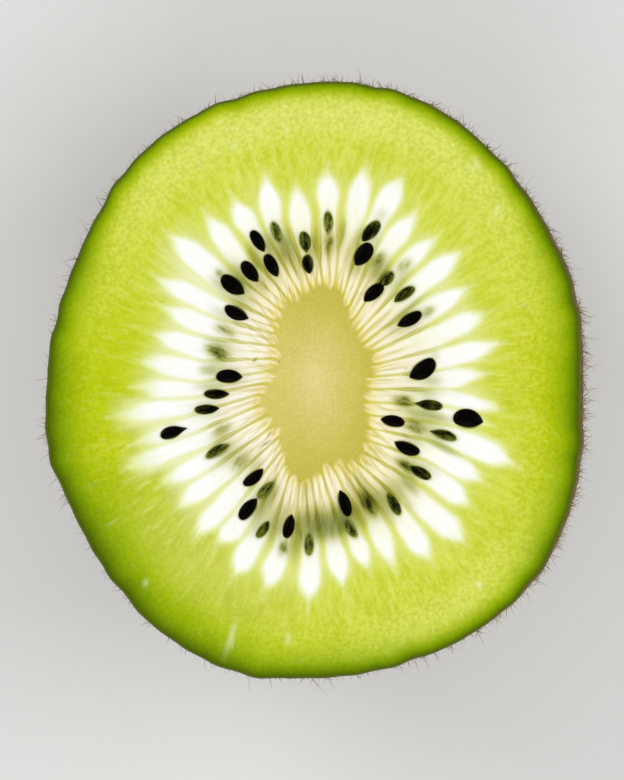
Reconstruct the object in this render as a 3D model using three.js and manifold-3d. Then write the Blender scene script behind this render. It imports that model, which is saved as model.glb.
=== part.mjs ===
// Half of a kiwi fruit, cut across its middle and lying on its stem end with the cut face up.
//
// Millimetres, +Z up. The origin is the centre of the small flat spot that the half rests on, so the
// stem axis of the fruit is the Z axis. The longer way across the cut face lies along Y.
//
// Two solids make it:
//   flesh - the green flesh with its thin skin, the pocket for the core, and the seeds that stand
//           a little proud of the cut face round the core;
//   core  - the pale, firm column in the middle, which runs from the cut face to near the stem end.
import * as THREE from "three";
import { mergeVertices } from "three/addons/utils/BufferGeometryUtils.js";
import Module from "manifold-3d";

// ---- Driving dimensions -------------------------------------------------------------------------

const HALF_HEIGHT = 32.3; // from the resting spot up to the cut face
const STEM_END_TRIM = 0.32; // how much of the round stem end is flattened into the resting spot
const SIDE_FULLNESS = 2.35; // power of the side's curve: 2 is an ellipse, more is a fuller side

// Distance from the stem axis to the rim of the cut, every 15 degrees, anticlockwise from +X.
const RIM_RADII = [
  23.45, 24.0, 24.4, 25.1, 26.1, 26.65, 26.43, 26.05, 25.7, 24.85, 23.8, 23.58,
  23.75, 24.4, 24.4, 25.2, 26.15, 26.72, 26.32, 26.2, 26.27, 26.2, 25.37, 24.2,
];
// Distance from the stem axis to the edge of the core, every 20 degrees, anticlockwise from +X.
const CORE_RADII = [
  4.9, 5.75, 5.5, 6.55, 8.65, 7.85, 6.9, 4.55, 4.2,
  4.25, 5.55, 5.75, 6.25, 9.1, 7.65, 8.15, 6.2, 4.95,
];

// Below the cut the skin swells out a little on the +X side, where the knife left the fruit.
const SKIN_SWELL = 0.45; // how far it stands out past the rim
const SKIN_SWELL_DEPTH = 1.5; // how far below the cut it reaches its full width
const SKIN_SWELL_SPREAD = 58; // half the angle that it covers, in degrees

const CORE_DEPTH = 27; // how far the core runs down from the cut face
const CORE_FULLNESS = 2.4; // power of the core's side curve
const CORE_END_TRIM = 0.6; // the blunt lower tip of the core
const CORE_GAP = 0.3; // clearance between the core and its pocket

// The stem scar under the half: a round, level button with a groove round it.
const STEM_BUTTON_RADIUS = 2.4;
const STEM_GROOVE_WIDTH = 1.1;
const STEM_GROOVE_DEPTH = 0.5;

// Seeds: a ripe seed is a flattened drop, thinner towards the core.
const SEED_THICKNESS = 0.95; // of a full seed; a slimmer seed is as thick as it is wide
const SEED_TAPER = 0.2; // how much narrower the end towards the core is, and wider the other end
const RIPE = { sink: 0.12 }; // how deep the middle of a ripe black seed lies under the cut
const VEILED = { sink: 0.27 }; // the same for a seed that is still half covered by flesh
// Each seed: direction from the stem axis (degrees), distance, length, width, its turn away from
// that direction (degrees), and how it lies.
const SEEDS = [
  [6.3, 9.56, 2.65, 1.53, 28, RIPE],
  [33.1, 9.93, 2.45, 1.05, -5, RIPE],
  [44.1, 10.93, 2.3, 0.95, -9, VEILED],
  [56.5, 9.3, 2.3, 1.15, -15, RIPE],
  [55.2, 10.96, 1.8, 0.98, -13, VEILED],
  [69.2, 11.92, 2.4, 1.42, -15, RIPE],
  [69.6, 14.07, 2.35, 1.1, -21, RIPE],
  [85.3, 14.02, 2.1, 0.85, 6, VEILED],
  [93.4, 10.3, 1.75, 0.96, 5, RIPE],
  [94.2, 12.3, 1.9, 0.97, 5, RIPE],
  [104.6, 13.5, 2.15, 0.9, 5, VEILED],
  [110.6, 10.87, 2.25, 1.08, 7, RIPE],
  [112.2, 13.32, 2.2, 1.0, 9, RIPE],
  [120.7, 11.2, 2.25, 1.18, 7, RIPE],
  [130.6, 11.12, 2.55, 1.36, 12, RIPE],
  [139.1, 9.15, 2.35, 1.07, 15, RIPE],
  [177.1, 7.55, 2.4, 1.18, 2, RIPE],
  [187.5, 8.76, 2.25, 0.87, -8, RIPE],
  [194.6, 9.87, 2.2, 0.84, -11, RIPE],
  [199.8, 13.45, 2.1, 1.07, -3, RIPE],
  [215.7, 10.55, 2.5, 0.87, -7, VEILED],
  [237.5, 10.05, 2.3, 0.96, -18, RIPE],
  [245.8, 10.5, 2.2, 0.85, -20, VEILED],
  [242.5, 12.72, 2.4, 1.12, -12, RIPE],
  [250.7, 13.86, 1.9, 0.82, -17, VEILED],
  [259.8, 13.02, 2.2, 0.97, -4, RIPE],
  [268.2, 14.4, 2.1, 0.8, 1, VEILED],
  [283.5, 11.08, 2.5, 1.0, 5, RIPE],
  [283.6, 13.3, 2.1, 0.88, 16, VEILED],
  [302.6, 12.85, 2.35, 0.9, -4, VEILED],
  [319.1, 12.38, 2.1, 0.92, 11, RIPE],
  [324.0, 10.0, 2.45, 1.08, 13, RIPE],
  [332.6, 7.68, 2.2, 1.0, 18, RIPE],
  [337.2, 12.38, 2.3, 0.86, 6, VEILED],
  [346.5, 13.86, 2.7, 1.66, 5, RIPE],
  [348.1, 10.34, 2.3, 0.93, 5, RIPE],
];

// How finely the curved surfaces are faceted.
const SIDE_FACETS = 96;
const SIDE_LEVELS = 22;
const CORE_FACETS = 54;
const CORE_LEVELS = 12;
const STEM_FACETS = 32;
const SEED_FACETS = 6;
const SEED_RINGS = 5;

const TURN = 2 * Math.PI;

// ---- Shared shapes ------------------------------------------------------------------------------

// A smooth closed outline through evenly spaced radii: a Catmull-Rom curve of radius over angle.
function outlineRadius(radii, angle) {
  const count = radii.length;
  const place = ((((angle / TURN) % 1) + 1) % 1) * count;
  const step = Math.floor(place);
  const t = place - step;
  const [before, from, to, after] = [-1, 0, 1, 2].map((k) => radii[(step + k + count) % count]);
  const slope = to - before;
  const bend = 2 * before - 5 * from + 4 * to - after;
  const twist = 3 * from - before - 3 * to + after;
  return 0.5 * (2 * from + slope * t + bend * t * t + twist * t * t * t);
}

const mean = (values) => values.reduce((sum, value) => sum + value, 0) / values.length;

// The levels of a half body of revolution that is round-ended like a superellipse, from its widest
// section down: depth runs from 0 towards `length`, and narrowing from 1 towards 0. The last `trim`
// of the length is cut off flat.
function superellipseLevels(length, trim, power, count) {
  const lastAngle = Math.asin(((length - trim) / length) ** (power / 2));
  return Array.from({ length: count + 1 }, (_, i) => {
    const angle = (lastAngle * i) / count;
    return {
      depth: length * Math.sin(angle) ** (2 / power),
      narrowing: Math.cos(angle) ** (2 / power),
    };
  });
}

// A closed solid from a stack of rings, highest first, each with as many points as the next. The top
// and bottom rings are flat and are closed with a fan from the stem axis.
function stackedRings(rings) {
  const facets = rings[0].length;
  const last = (rings.length - 1) * facets;
  const points = rings.flat();
  const topCentre = points.length;
  points.push(new THREE.Vector3(0, 0, rings[0][0].z));
  points.push(new THREE.Vector3(0, 0, rings[rings.length - 1][0].z));
  const triangles = [];
  for (let i = 0; i < facets; i += 1) {
    const next = (i + 1) % facets;
    triangles.push(topCentre, i, next);
    triangles.push(topCentre + 1, last + next, last + i);
    for (let top = 0; top < last; top += facets) {
      const below = top + facets;
      triangles.push(top + i, below + i, below + next);
      triangles.push(top + i, below + next, top + next);
    }
  }
  const geometry = new THREE.BufferGeometry().setFromPoints(points);
  geometry.setIndex(triangles);
  return geometry;
}

// ---- Solids and booleans ------------------------------------------------------------------------

const wasm = await Module();
wasm.setup();

function toSolid(geometry) {
  const bare = geometry.clone();
  bare.deleteAttribute("normal");
  bare.deleteAttribute("uv");
  const merged = mergeVertices(bare);
  const vertProperties = new Float32Array(merged.getAttribute("position").array);
  const triVerts = new Uint32Array(merged.getIndex().array);
  return new wasm.Manifold(new wasm.Mesh({ numProp: 3, vertProperties, triVerts }));
}

function toGeometry(solid) {
  const { vertProperties, triVerts } = solid.getMesh();
  const geometry = new THREE.BufferGeometry();
  geometry.setAttribute("position", new THREE.BufferAttribute(vertProperties, 3));
  geometry.setIndex(new THREE.BufferAttribute(triVerts, 1));
  geometry.computeVertexNormals();
  return geometry;
}

// ---- The outer body: the rim's outline carried down a full, round-ended side ---------------------

// How far the skin stands out past the rim at this angle and depth below the cut.
function skinSwell(angle, depth) {
  const fromPlusX = Math.atan2(Math.sin(angle), Math.cos(angle));
  const spread = THREE.MathUtils.degToRad(SKIN_SWELL_SPREAD);
  const around = Math.exp(-((fromPlusX / spread) ** 2));
  return SKIN_SWELL * around * (1 - Math.exp(-((depth / SKIN_SWELL_DEPTH) ** 2)));
}

function outerBody() {
  const halfLength = HALF_HEIGHT + STEM_END_TRIM;
  const meanRadius = mean(RIM_RADII);
  const levels = superellipseLevels(halfLength, STEM_END_TRIM, SIDE_FULLNESS, SIDE_LEVELS);
  const rings = levels.map(({ depth, narrowing }) =>
    Array.from({ length: SIDE_FACETS }, (_, i) => {
      const angle = (TURN * i) / SIDE_FACETS;
      // The unevenness of the rim fades as the body closes towards its round stem end.
      const uneven = (outlineRadius(RIM_RADII, angle) - meanRadius) * narrowing;
      const radius = (meanRadius + uneven + skinSwell(angle, depth)) * narrowing;
      return new THREE.Vector3(radius * Math.cos(angle), radius * Math.sin(angle), HALF_HEIGHT - depth);
    }),
  );
  return stackedRings(rings);
}

// ---- The core, and the pocket in the flesh that holds it ----------------------------------------

// The core's outline carried down a long round-ended taper. `clearance` makes it larger all round,
// and `rise` carries it straight up past the cut face.
function coreBody(clearance, rise) {
  const meanRadius = mean(CORE_RADII);
  const levels = superellipseLevels(CORE_DEPTH, CORE_END_TRIM, CORE_FULLNESS, CORE_LEVELS);
  const ringAt = (z, narrowing) =>
    Array.from({ length: CORE_FACETS }, (_, i) => {
      const angle = (TURN * i) / CORE_FACETS;
      const uneven = (outlineRadius(CORE_RADII, angle) - meanRadius) * narrowing;
      const radius = (meanRadius + uneven) * narrowing + clearance;
      return new THREE.Vector3(radius * Math.cos(angle), radius * Math.sin(angle), z);
    });
  const rings = levels.map(({ depth, narrowing }) => {
    const z = HALF_HEIGHT - depth - clearance * (depth / CORE_DEPTH);
    return ringAt(z, narrowing);
  });
  if (rise > 0) rings.unshift(ringAt(HALF_HEIGHT + rise, 1));
  return stackedRings(rings);
}

// ---- The groove round the stem button -------------------------------------------------------------

// A ring with a V-shaped section, point up, that starts a little below the resting spot.
function stemGroove() {
  const middle = STEM_BUTTON_RADIUS + STEM_GROOVE_WIDTH / 2;
  const startBelow = STEM_GROOVE_DEPTH;
  // The section widens below the resting spot at the slope that it has above it.
  const halfWidth = (STEM_GROOVE_WIDTH / 2) * (1 + startBelow / STEM_GROOVE_DEPTH);
  const section = [
    new THREE.Vector2(middle - halfWidth, -startBelow),
    new THREE.Vector2(middle + halfWidth, -startBelow),
    new THREE.Vector2(middle, STEM_GROOVE_DEPTH),
    new THREE.Vector2(middle - halfWidth, -startBelow),
  ];
  return new THREE.LatheGeometry(section, STEM_FACETS).rotateX(Math.PI / 2);
}

// ---- Seeds ---------------------------------------------------------------------------------------

// A flattened drop, its long axis along its own X before it is turned and put in its place.
function seed([direction, distance, length, width, turn, lie]) {
  const shape = new THREE.SphereGeometry(1, SEED_FACETS, SEED_RINGS);
  shape.rotateZ(-Math.PI / 2);
  const position = shape.getAttribute("position");
  for (let i = 0; i < position.count; i += 1) {
    const girth = 1 + SEED_TAPER * position.getX(i);
    position.setY(i, position.getY(i) * girth);
    position.setZ(i, position.getZ(i) * girth);
  }
  shape.scale(length / 2, width / 2, Math.min(width, SEED_THICKNESS) / 2);
  const angle = THREE.MathUtils.degToRad(direction);
  shape.rotateZ(angle + THREE.MathUtils.degToRad(turn));
  shape.translate(distance * Math.cos(angle), distance * Math.sin(angle), HALF_HEIGHT - lie.sink);
  return shape;
}

// ---- The two sub-parts ---------------------------------------------------------------------------

function makeFlesh() {
  const pocketRise = 1;
  let solid = toSolid(outerBody())
    .subtract(toSolid(coreBody(CORE_GAP, pocketRise)))
    .subtract(toSolid(stemGroove()));
  for (const row of SEEDS) solid = solid.add(toSolid(seed(row)));
  const material = new THREE.MeshStandardMaterial({ color: 0xc3d043, roughness: 0.38, metalness: 0 });
  const mesh = new THREE.Mesh(toGeometry(solid), material);
  mesh.name = "flesh";
  return mesh;
}

function makeCore() {
  const material = new THREE.MeshStandardMaterial({ color: 0xddcf7c, roughness: 0.5, metalness: 0 });
  const mesh = new THREE.Mesh(toGeometry(toSolid(coreBody(0, 0))), material);
  mesh.name = "core";
  return mesh;
}

const kiwiHalf = new THREE.Group();
kiwiHalf.name = "kiwi_half";
kiwiHalf.add(makeFlesh(), makeCore());

export default kiwiHalf;
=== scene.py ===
"""Half of a kiwi fruit, cut across its middle and lying on its stem end with the cut face up.

Shapes are worked out in millimetres round the stem axis, which is the Z axis, and become metres when
their mesh is made. An angle runs anticlockwise from +X, seen from above. A depth is a distance below
the cut face.
"""

import math

import bpy
import numpy as np
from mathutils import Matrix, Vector


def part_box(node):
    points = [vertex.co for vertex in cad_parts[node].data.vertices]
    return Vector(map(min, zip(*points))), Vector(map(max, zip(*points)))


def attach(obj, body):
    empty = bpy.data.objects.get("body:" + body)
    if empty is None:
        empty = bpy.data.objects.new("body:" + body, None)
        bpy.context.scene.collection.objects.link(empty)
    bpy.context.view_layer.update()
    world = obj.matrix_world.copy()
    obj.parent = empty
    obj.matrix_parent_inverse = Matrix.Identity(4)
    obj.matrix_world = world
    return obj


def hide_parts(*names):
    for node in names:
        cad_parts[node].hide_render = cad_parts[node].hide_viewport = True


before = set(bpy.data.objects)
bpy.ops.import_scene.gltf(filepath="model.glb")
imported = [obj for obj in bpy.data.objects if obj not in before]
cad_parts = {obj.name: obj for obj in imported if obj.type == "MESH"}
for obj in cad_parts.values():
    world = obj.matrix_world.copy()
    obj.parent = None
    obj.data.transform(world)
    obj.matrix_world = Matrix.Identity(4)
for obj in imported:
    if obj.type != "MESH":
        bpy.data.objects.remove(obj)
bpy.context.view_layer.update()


# ---- The flesh ---------------------------------------------------------------------------------
# Soft, wet, yellow-green flesh. On the cut it shows pale tear-drop chambers in a ring round the
# core, thin green walls between them, and cream fingers that run from the chambers to the core.
# It is one closed body with a pocket for the core, and it has grown together with skin and core.

MM = 0.001
cut_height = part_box("core")[1].z / MM

# Distance from the stem axis to the rim of the cut, every 15 degrees.
RIM_RADII = [
    23.45, 24.0, 24.4, 25.1, 26.1, 26.65, 26.43, 26.05, 25.7, 24.85, 23.8, 23.58,
    23.75, 24.4, 24.4, 25.2, 26.15, 26.72, 26.32, 26.2, 26.27, 26.2, 25.37, 24.2,
]
# Low waves along the rim: how many go round, and where each starts. They fade out below the cut.
RIM_WAVES = [(17, 0.4), (29, 2.1), (41, 4.4), (53, 1.3)]
RIM_WAVE_HEIGHT = 0.035
RIM_WAVE_DEPTH = 4.0
# Distance from the stem axis to the edge of the core, every 20 degrees.
CORE_RADII = [
    4.9, 5.75, 5.5, 6.55, 8.65, 7.85, 6.9, 4.55, 4.2,
    4.25, 5.55, 5.75, 6.25, 9.1, 7.65, 8.15, 6.2, 4.95,
]
# From the cut down, the side is a superellipse: its fullness is the curve's power, and the level
# spot underneath trims the curve's end. The skin swells a little on the +X side, below the cut.
SIDE_FULLNESS = 2.35
STEM_END_TRIM = 0.32
SKIN_SWELL = 0.45
SKIN_SWELL_DEPTH = 1.5
SKIN_SWELL_SPREAD = math.radians(58)
# The core and its pocket narrow downwards in the same way.
CORE_DEPTH = 27.0
CORE_FULLNESS = 2.4
CORE_END_TRIM = 0.6
SKIN_AT_CUT = 0.2
half_length = cut_height + STEM_END_TRIM

COLUMNS = 640
FACE_ROWS = 120
SHARP_EDGE = math.radians(50)
angles = np.linspace(0, 2 * math.pi, COLUMNS, endpoint=False)


def around(values, angle):
    """A smooth value round the axis: a Catmull-Rom curve through evenly spaced values, closed."""
    values = np.asarray(values, float)
    count = len(values)
    place = np.mod(angle / (2 * math.pi), 1) * count
    step = np.floor(place).astype(int)
    t = place - step
    before, start, end, after = (values[(step + k) % count] for k in (-1, 0, 1, 2))
    bend = 2 * before - 5 * start + 4 * end - after
    twist = 3 * start - before - 3 * end + after
    return 0.5 * (2 * start + (end - before) * t + bend * t ** 2 + twist * t ** 3)


def ease(low, high, x):
    """0 below low, 1 above high and a smooth 3t^2 - 2t^3 between; low may be above high."""
    t = np.clip((x - low) / (high - low), 0, 1)
    return t * t * (3 - 2 * t)


def rounded_side(length, trim, power, count):
    """Depths and narrowings down a superellipse, as two columns: length * sin(a)^(2/power) and
    cos(a)^(2/power), with a in even steps from 0 to where the last `trim` of the length is cut off."""
    last = math.asin(((length - trim) / length) ** (power / 2))
    a = np.linspace(0, last, count)[:, None]
    return length * np.sin(a) ** (2 / power), np.cos(a) ** (2 / power)


def rim_outline(angle, depth=0.0):
    """The outline at the cut and below it: a smooth curve through the rim's radii, with low sine
    waves on it that fade as exp(-(depth / RIM_WAVE_DEPTH)^2)."""
    waves = sum(np.sin(count * angle + start) for count, start in RIM_WAVES)
    fade = np.exp(-((depth / RIM_WAVE_DEPTH) ** 2))
    return around(RIM_RADII, angle) + RIM_WAVE_HEIGHT * waves * fade


def body_radius(angle, depth, narrowing):
    """The skin's outside: the rim's outline times the narrowing, with the outline's unevenness
    fading downwards, and a low swelling on the +X side just below the cut."""
    mean = np.mean(RIM_RADII)
    uneven = (rim_outline(angle, depth) - mean) * narrowing
    from_plus_x = np.arctan2(np.sin(angle), np.cos(angle))
    swelling = SKIN_SWELL * np.exp(-((from_plus_x / SKIN_SWELL_SPREAD) ** 2))
    swelling = swelling * (1 - np.exp(-((depth / SKIN_SWELL_DEPTH) ** 2)))
    return (mean + uneven + swelling) * narrowing


def core_radius(angle, narrowing):
    """The core's side: its outline times the narrowing, the unevenness fading downwards."""
    mean = np.mean(CORE_RADII)
    return (mean + (around(CORE_RADII, angle) - mean) * narrowing) * narrowing


def turned(radius, angle, z):
    """Points at a radius, an angle round the axis and a height, as x, y and z in millimetres."""
    return np.stack(np.broadcast_arrays(radius * np.cos(angle), radius * np.sin(angle), z), axis=-1)


def new_piece(name, points, faces, marks):
    """A smoothly shaded mesh and its object, from points in millimetres. `marks` are float
    attributes, each an array with a value for every point."""
    mesh = bpy.data.meshes.new(name)
    mesh.from_pydata((points * MM).tolist(), [], faces)
    mesh.polygons.foreach_set("use_smooth", np.ones(len(mesh.polygons), bool))
    for mark, values in marks.items():
        layer = mesh.attributes.new(mark, "FLOAT", "POINT")
        layer.data.foreach_set("value", values.astype(np.float32))
    piece = bpy.data.objects.new(name, mesh)
    bpy.context.scene.collection.objects.link(piece)
    return piece


def ringed_piece(name, first, rings, last, marks):
    """A closed surface through rings of points, from the end point `first` to the end point `last`.
    Faces point outwards where the rings run outwards over the top and then down. `marks` have a row
    of values for each ring."""
    count, columns = rings.shape[:2]
    points = np.concatenate([rings.reshape(-1, 3), [first, last]])
    here = np.arange(count * columns).reshape(count, columns)
    beside = np.roll(here, -1, axis=1)
    quads = np.stack([here[:-1], here[1:], beside[1:], beside[:-1]], axis=-1).reshape(-1, 4)
    fan_in = np.stack([np.full(columns, here.size), here[0], beside[0]], axis=1)
    fan_out = np.stack([here[-1], np.full(columns, here.size + 1), beside[-1]], axis=1)
    marks = {
        mark: np.concatenate([values.ravel(), [values[0].mean(), values[-1].mean()]])
        for mark, values in marks.items()
    }
    piece = new_piece(name, points, quads.tolist() + fan_in.tolist() + fan_out.tolist(), marks)
    piece.data.set_sharp_from_angle(angle=SHARP_EDGE)
    return piece


# Each chamber: the direction (degrees) and distance (mm) of its outer tip, those of the point where
# its white part begins, its greatest width (mm), and how long a stretch it closes over (mm).
CHAMBERS = np.array([
    (2.6, 14.75, 0.0, 10.8, 1.53, 2.4), (11.3, 16.3, 9.5, 11.2, 1.6, 2.4),
    (21.7, 15.9, 20.0, 10.5, 1.66, 1.9), (31.3, 15.6, 32.0, 12.0, 1.65, 2.4),
    (41.5, 17.05, 43.0, 12.4, 1.7, 2.4), (50.3, 16.5, 52.5, 13.0, 1.42, 2.4),
    (59.0, 17.15, 62.0, 13.0, 1.78, 2.4), (67.2, 19.3, 69.0, 15.2, 1.93, 1.8),
    (77.0, 19.2, 76.0, 13.8, 1.8, 2.4), (86.5, 18.4, 85.5, 14.9, 1.76, 1.8),
    (95.5, 17.15, 94.8, 12.5, 1.86, 2.4), (104.0, 18.5, 104.8, 14.3, 1.75, 2.4),
    (114.5, 17.45, 112.8, 14.4, 1.85, 1.9), (123.2, 17.2, 122.0, 12.2, 1.7, 1.8),
    (134.8, 18.1, 132.5, 12.0, 1.98, 2.4), (147.0, 16.4, 143.5, 10.8, 1.66, 2.4),
    (154.2, 14.65, 152.5, 10.3, 1.73, 2.4), (164.0, 14.6, 164.0, 10.3, 1.63, 1.8),
    (173.3, 15.2, 176.0, 10.0, 1.73, 2.4), (182.0, 15.4, 185.2, 10.6, 1.6, 1.8),
    (190.3, 17.7, 190.6, 11.6, 1.5, 2.4), (199.0, 16.5, 200.3, 11.8, 1.4, 2.4),
    (205.0, 18.0, 206.5, 11.3, 1.5, 2.4), (214.0, 16.0, 216.5, 12.0, 1.62, 2.4),
    (222.4, 16.3, 225.0, 11.0, 1.78, 2.4), (232.3, 17.1, 235.0, 11.3, 1.73, 1.7),
    (239.3, 16.6, 241.8, 14.1, 1.86, 1.6), (247.4, 18.55, 249.5, 14.8, 1.88, 1.8),
    (256.8, 18.85, 258.6, 15.2, 1.8, 1.8), (268.3, 19.4, 268.6, 15.4, 1.8, 1.9),
    (277.8, 18.1, 276.4, 14.4, 1.74, 1.8), (286.0, 17.05, 284.0, 14.3, 1.6, 1.7),
    (292.8, 17.5, 293.3, 13.0, 1.66, 2.4), (302.6, 18.6, 302.0, 14.0, 1.75, 1.8),
    (313.0, 19.2, 309.5, 12.5, 1.86, 1.8), (321.2, 17.4, 321.0, 13.2, 1.72, 1.8),
    (329.2, 17.05, 328.5, 11.3, 1.66, 1.8), (337.2, 18.8, 338.2, 13.3, 1.84, 2.4),
    (346.0, 15.4, 345.5, 11.4, 1.75, 2.4), (351.5, 16.1, 352.5, 11.0, 1.32, 2.4),
])
# The power by which a drop closes over its last stretch, and the faint point that it ends in: how
# long it is, how far from full it starts, and how much fainter it gets.
CLOSING_POWER = 1.7
POINT_LENGTH = 1.0
POINT_FAINTNESS = 0.2
POINT_TAPER = 0.15
# A finger's width as a share of its drop's at the sides of the core, how much less it is at the
# core's ends, the share of the drop's length in which the one width turns into the other, and where
# the first finger starts, as a share of the way round the core.
FINGER_WIDTH = 1.2
FINGER_WIDTH_LOSS = 0.45
FINGER_CHANGE = 0.4
FIRST_FINGER = -0.004
# Half a wall's width: its least, what is added by the core and among the seeds and how far each of
# these reaches, and what each millimetre outwards adds.
WALL_LEAST = 0.06
WALL_BY_CORE = 0.07
CORE_REACH = 1.2
WALL_BY_SEEDS = 0.07
SEEDS_FROM_CORE = 4.0
SEEDS_REACH = 1.8
WALL_GROWTH = 0.012


def at(degrees, distance):
    """The point of the cut face, as x and y in mm, in a direction and at a distance."""
    turn = np.radians(degrees)
    return np.stack([distance * np.cos(turn), distance * np.sin(turn)], axis=-1)


def chamber_roots():
    """Where the chambers' fingers meet the core: evenly spread along the core's edge."""
    fine = np.linspace(0, 2 * math.pi, 1441)
    path = turned(around(CORE_RADII, fine), fine, 0)
    run = np.concatenate([[0], np.cumsum(np.linalg.norm(np.diff(path, axis=0), axis=1))])
    share = (np.arange(len(CHAMBERS)) / len(CHAMBERS) + FIRST_FINGER) % 1
    turn = np.interp(share * run[-1], run, fine)
    return at(np.degrees(turn), around(CORE_RADII, turn))


def along(points, start, end):
    """For points against the lines from start to end: how far along its line each point lies, from 0
    at the start to 1 at the end and on beyond both, and its distance from the line."""
    line = end - start
    gap = points[:, None, :] - start
    share = (gap * line).sum(-1) / (line ** 2).sum(-1)
    nearest = np.clip(share, 0, 1)[..., None] * line
    return share, np.linalg.norm(gap - nearest, axis=-1)


def half_wall(out):
    """Half a wall's width at a distance out from the core's edge: a least width, a part that dies
    away from the core as exp(-out / reach), a bell curve over the seeds, and slow growth outwards."""
    by_core = WALL_BY_CORE * np.exp(-out / CORE_REACH)
    by_seeds = WALL_BY_SEEDS * np.exp(-(((out - SEEDS_FROM_CORE) / SEEDS_REACH) ** 2))
    return WALL_LEAST + by_core + by_seeds + WALL_GROWTH * out


def chamber_marks(points, from_core, ends):
    """Marks for points of the cut. "chamber" is how far inside a chamber a point lies (mm, less than
    0 in a wall): a chamber is a finger from the core, fuller at the sides of the core than at its
    ends, that turns into a drop of its own width, closes over its last stretch as 1 - t^1.7 and
    ends in a faint point. "drop" goes from 0 where the nearest drops begin to 1 at their tips, as
    a mean weighted by nearness. "across" goes from 0 on a chamber's midline to 0.5 half way to the
    next one's."""
    tip_turn, tip_out, begin_turn, begin_out, width, closing_length = CHAMBERS.T
    begins, tips = at(begin_turn, begin_out), at(tip_turn, tip_out)
    finger_gap = along(points, chamber_roots(), begins)[1]
    drop, drop_gap = along(points, begins, tips)
    gap = np.where(drop > 0, drop_gap, finger_gap)
    from_tip = (1 - drop) * np.linalg.norm(tips - begins, axis=1)
    closing = np.clip(1 - from_tip / closing_length, 0, 1)
    finger_width = (FINGER_WIDTH - FINGER_WIDTH_LOSS * ends)[:, None]
    fullness = finger_width + (1 - finger_width) * ease(0, FINGER_CHANGE, drop)
    inside_drop = width / 2 * fullness * (1 - closing ** CLOSING_POWER) - gap
    point, point_gap = along(points, tips, tips * (1 + POINT_LENGTH / tip_out[:, None]))
    inside_point = -POINT_FAINTNESS - POINT_TAPER * np.clip(point, 0, 1) - point_gap
    inside = np.maximum(inside_drop, inside_point).max(axis=1)
    near, next_near = np.sort(gap, axis=1)[:, :2].T
    nearness = (gap + 0.1) ** -4
    return {
        "chamber": np.minimum(inside, (next_near - near) / 2 - half_wall(np.maximum(from_core, 0))),
        "drop": (nearness * np.clip(drop, -0.5, 2)).sum(axis=1) / nearness.sum(axis=1),
        "across": near / (near + next_near),
    }


# Seeds. RIPE ones lie with their middle a little below the cut, VEILED ones deeper. Each: direction
# (degrees) and distance (mm) of its middle, length, width, how far it is turned from that direction
# (degrees), the length of the thread at its inner end, how deep it lies, and how much green film
# covers its black.
RIPE, VEILED = 0.12, 0.2
SEEDS = np.array([
    (6.1, 9.5, 2.75, 1.53, 28, 0, RIPE, 0), (33.1, 9.93, 2.45, 1.05, -5, 0, RIPE, 0),
    (44.1, 10.93, 2.3, 0.95, -9, 0, VEILED, 0.4), (56.5, 9.3, 2.3, 1.15, -15, 0, RIPE, 0),
    (55.2, 10.96, 1.8, 0.98, -13, 0, VEILED, 0.52), (69.2, 11.92, 2.4, 1.42, -15, 0, RIPE, 0),
    (69.6, 14.07, 2.35, 1.1, -21, 0, RIPE, 0.35), (85.3, 14.02, 2.1, 0.85, 6, 0.2, VEILED, 0.7),
    (93.4, 10.3, 1.75, 0.96, 5, 0, RIPE, 0.27), (94.2, 12.3, 1.9, 0.97, 5, 0, RIPE, 0.55),
    (104.6, 13.5, 2.15, 0.9, 5, 0, VEILED, 1), (110.6, 10.87, 2.25, 1.08, 7, 0, RIPE, 0),
    (112.2, 13.32, 2.2, 1.0, 9, 0, RIPE, 0), (120.7, 11.2, 2.25, 1.18, 7, 0, RIPE, 0),
    (130.6, 11.12, 2.55, 1.36, 12, 0, RIPE, 0), (139.1, 9.15, 2.35, 1.07, 15, 0, RIPE, 0),
    (177.1, 7.55, 2.4, 1.18, 2, 0, RIPE, 0), (187.5, 8.76, 2.25, 0.87, -8, 0.1, RIPE, 0.25),
    (194.6, 9.87, 2.2, 0.84, -11, 0.1, RIPE, 0.24), (199.8, 13.45, 2.1, 1.07, -3, 0.5, RIPE, 0.15),
    (215.7, 10.55, 2.5, 0.87, -7, 0, VEILED, 0.56), (237.5, 10.05, 2.3, 0.96, -18, 0, RIPE, 0),
    (245.8, 10.5, 2.2, 0.85, -20, 0, VEILED, 0.58), (242.5, 12.72, 2.4, 1.12, -12, 0, RIPE, 0),
    (250.7, 13.86, 1.9, 0.82, -17, 0, VEILED, 0.46), (259.8, 13.02, 2.2, 0.97, -4, 0, RIPE, 0),
    (267.9, 14.4, 2.1, 0.86, 1, 0, VEILED, 0.6), (283.5, 11.08, 2.5, 1.0, 5, 0, RIPE, 0),
    (283.6, 13.3, 2.1, 0.88, 16, 0, VEILED, 0.7), (302.6, 12.85, 2.35, 0.9, -4, 0.1, VEILED, 0.45),
    (319.1, 12.32, 2.1, 0.92, 11, 0.1, RIPE, 0.42), (324.0, 10.0, 2.45, 1.08, 13, 0, RIPE, 0.05),
    (332.6, 7.68, 2.2, 1.0, 18, 0, RIPE, 0), (337.2, 12.38, 2.3, 0.86, 6, 0.5, VEILED, 0.46),
    (346.0, 14.02, 2.75, 1.66, 185, 0, RIPE, 0), (348.1, 10.34, 2.3, 0.93, 5, 0.35, RIPE, 0.4),
])
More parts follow.
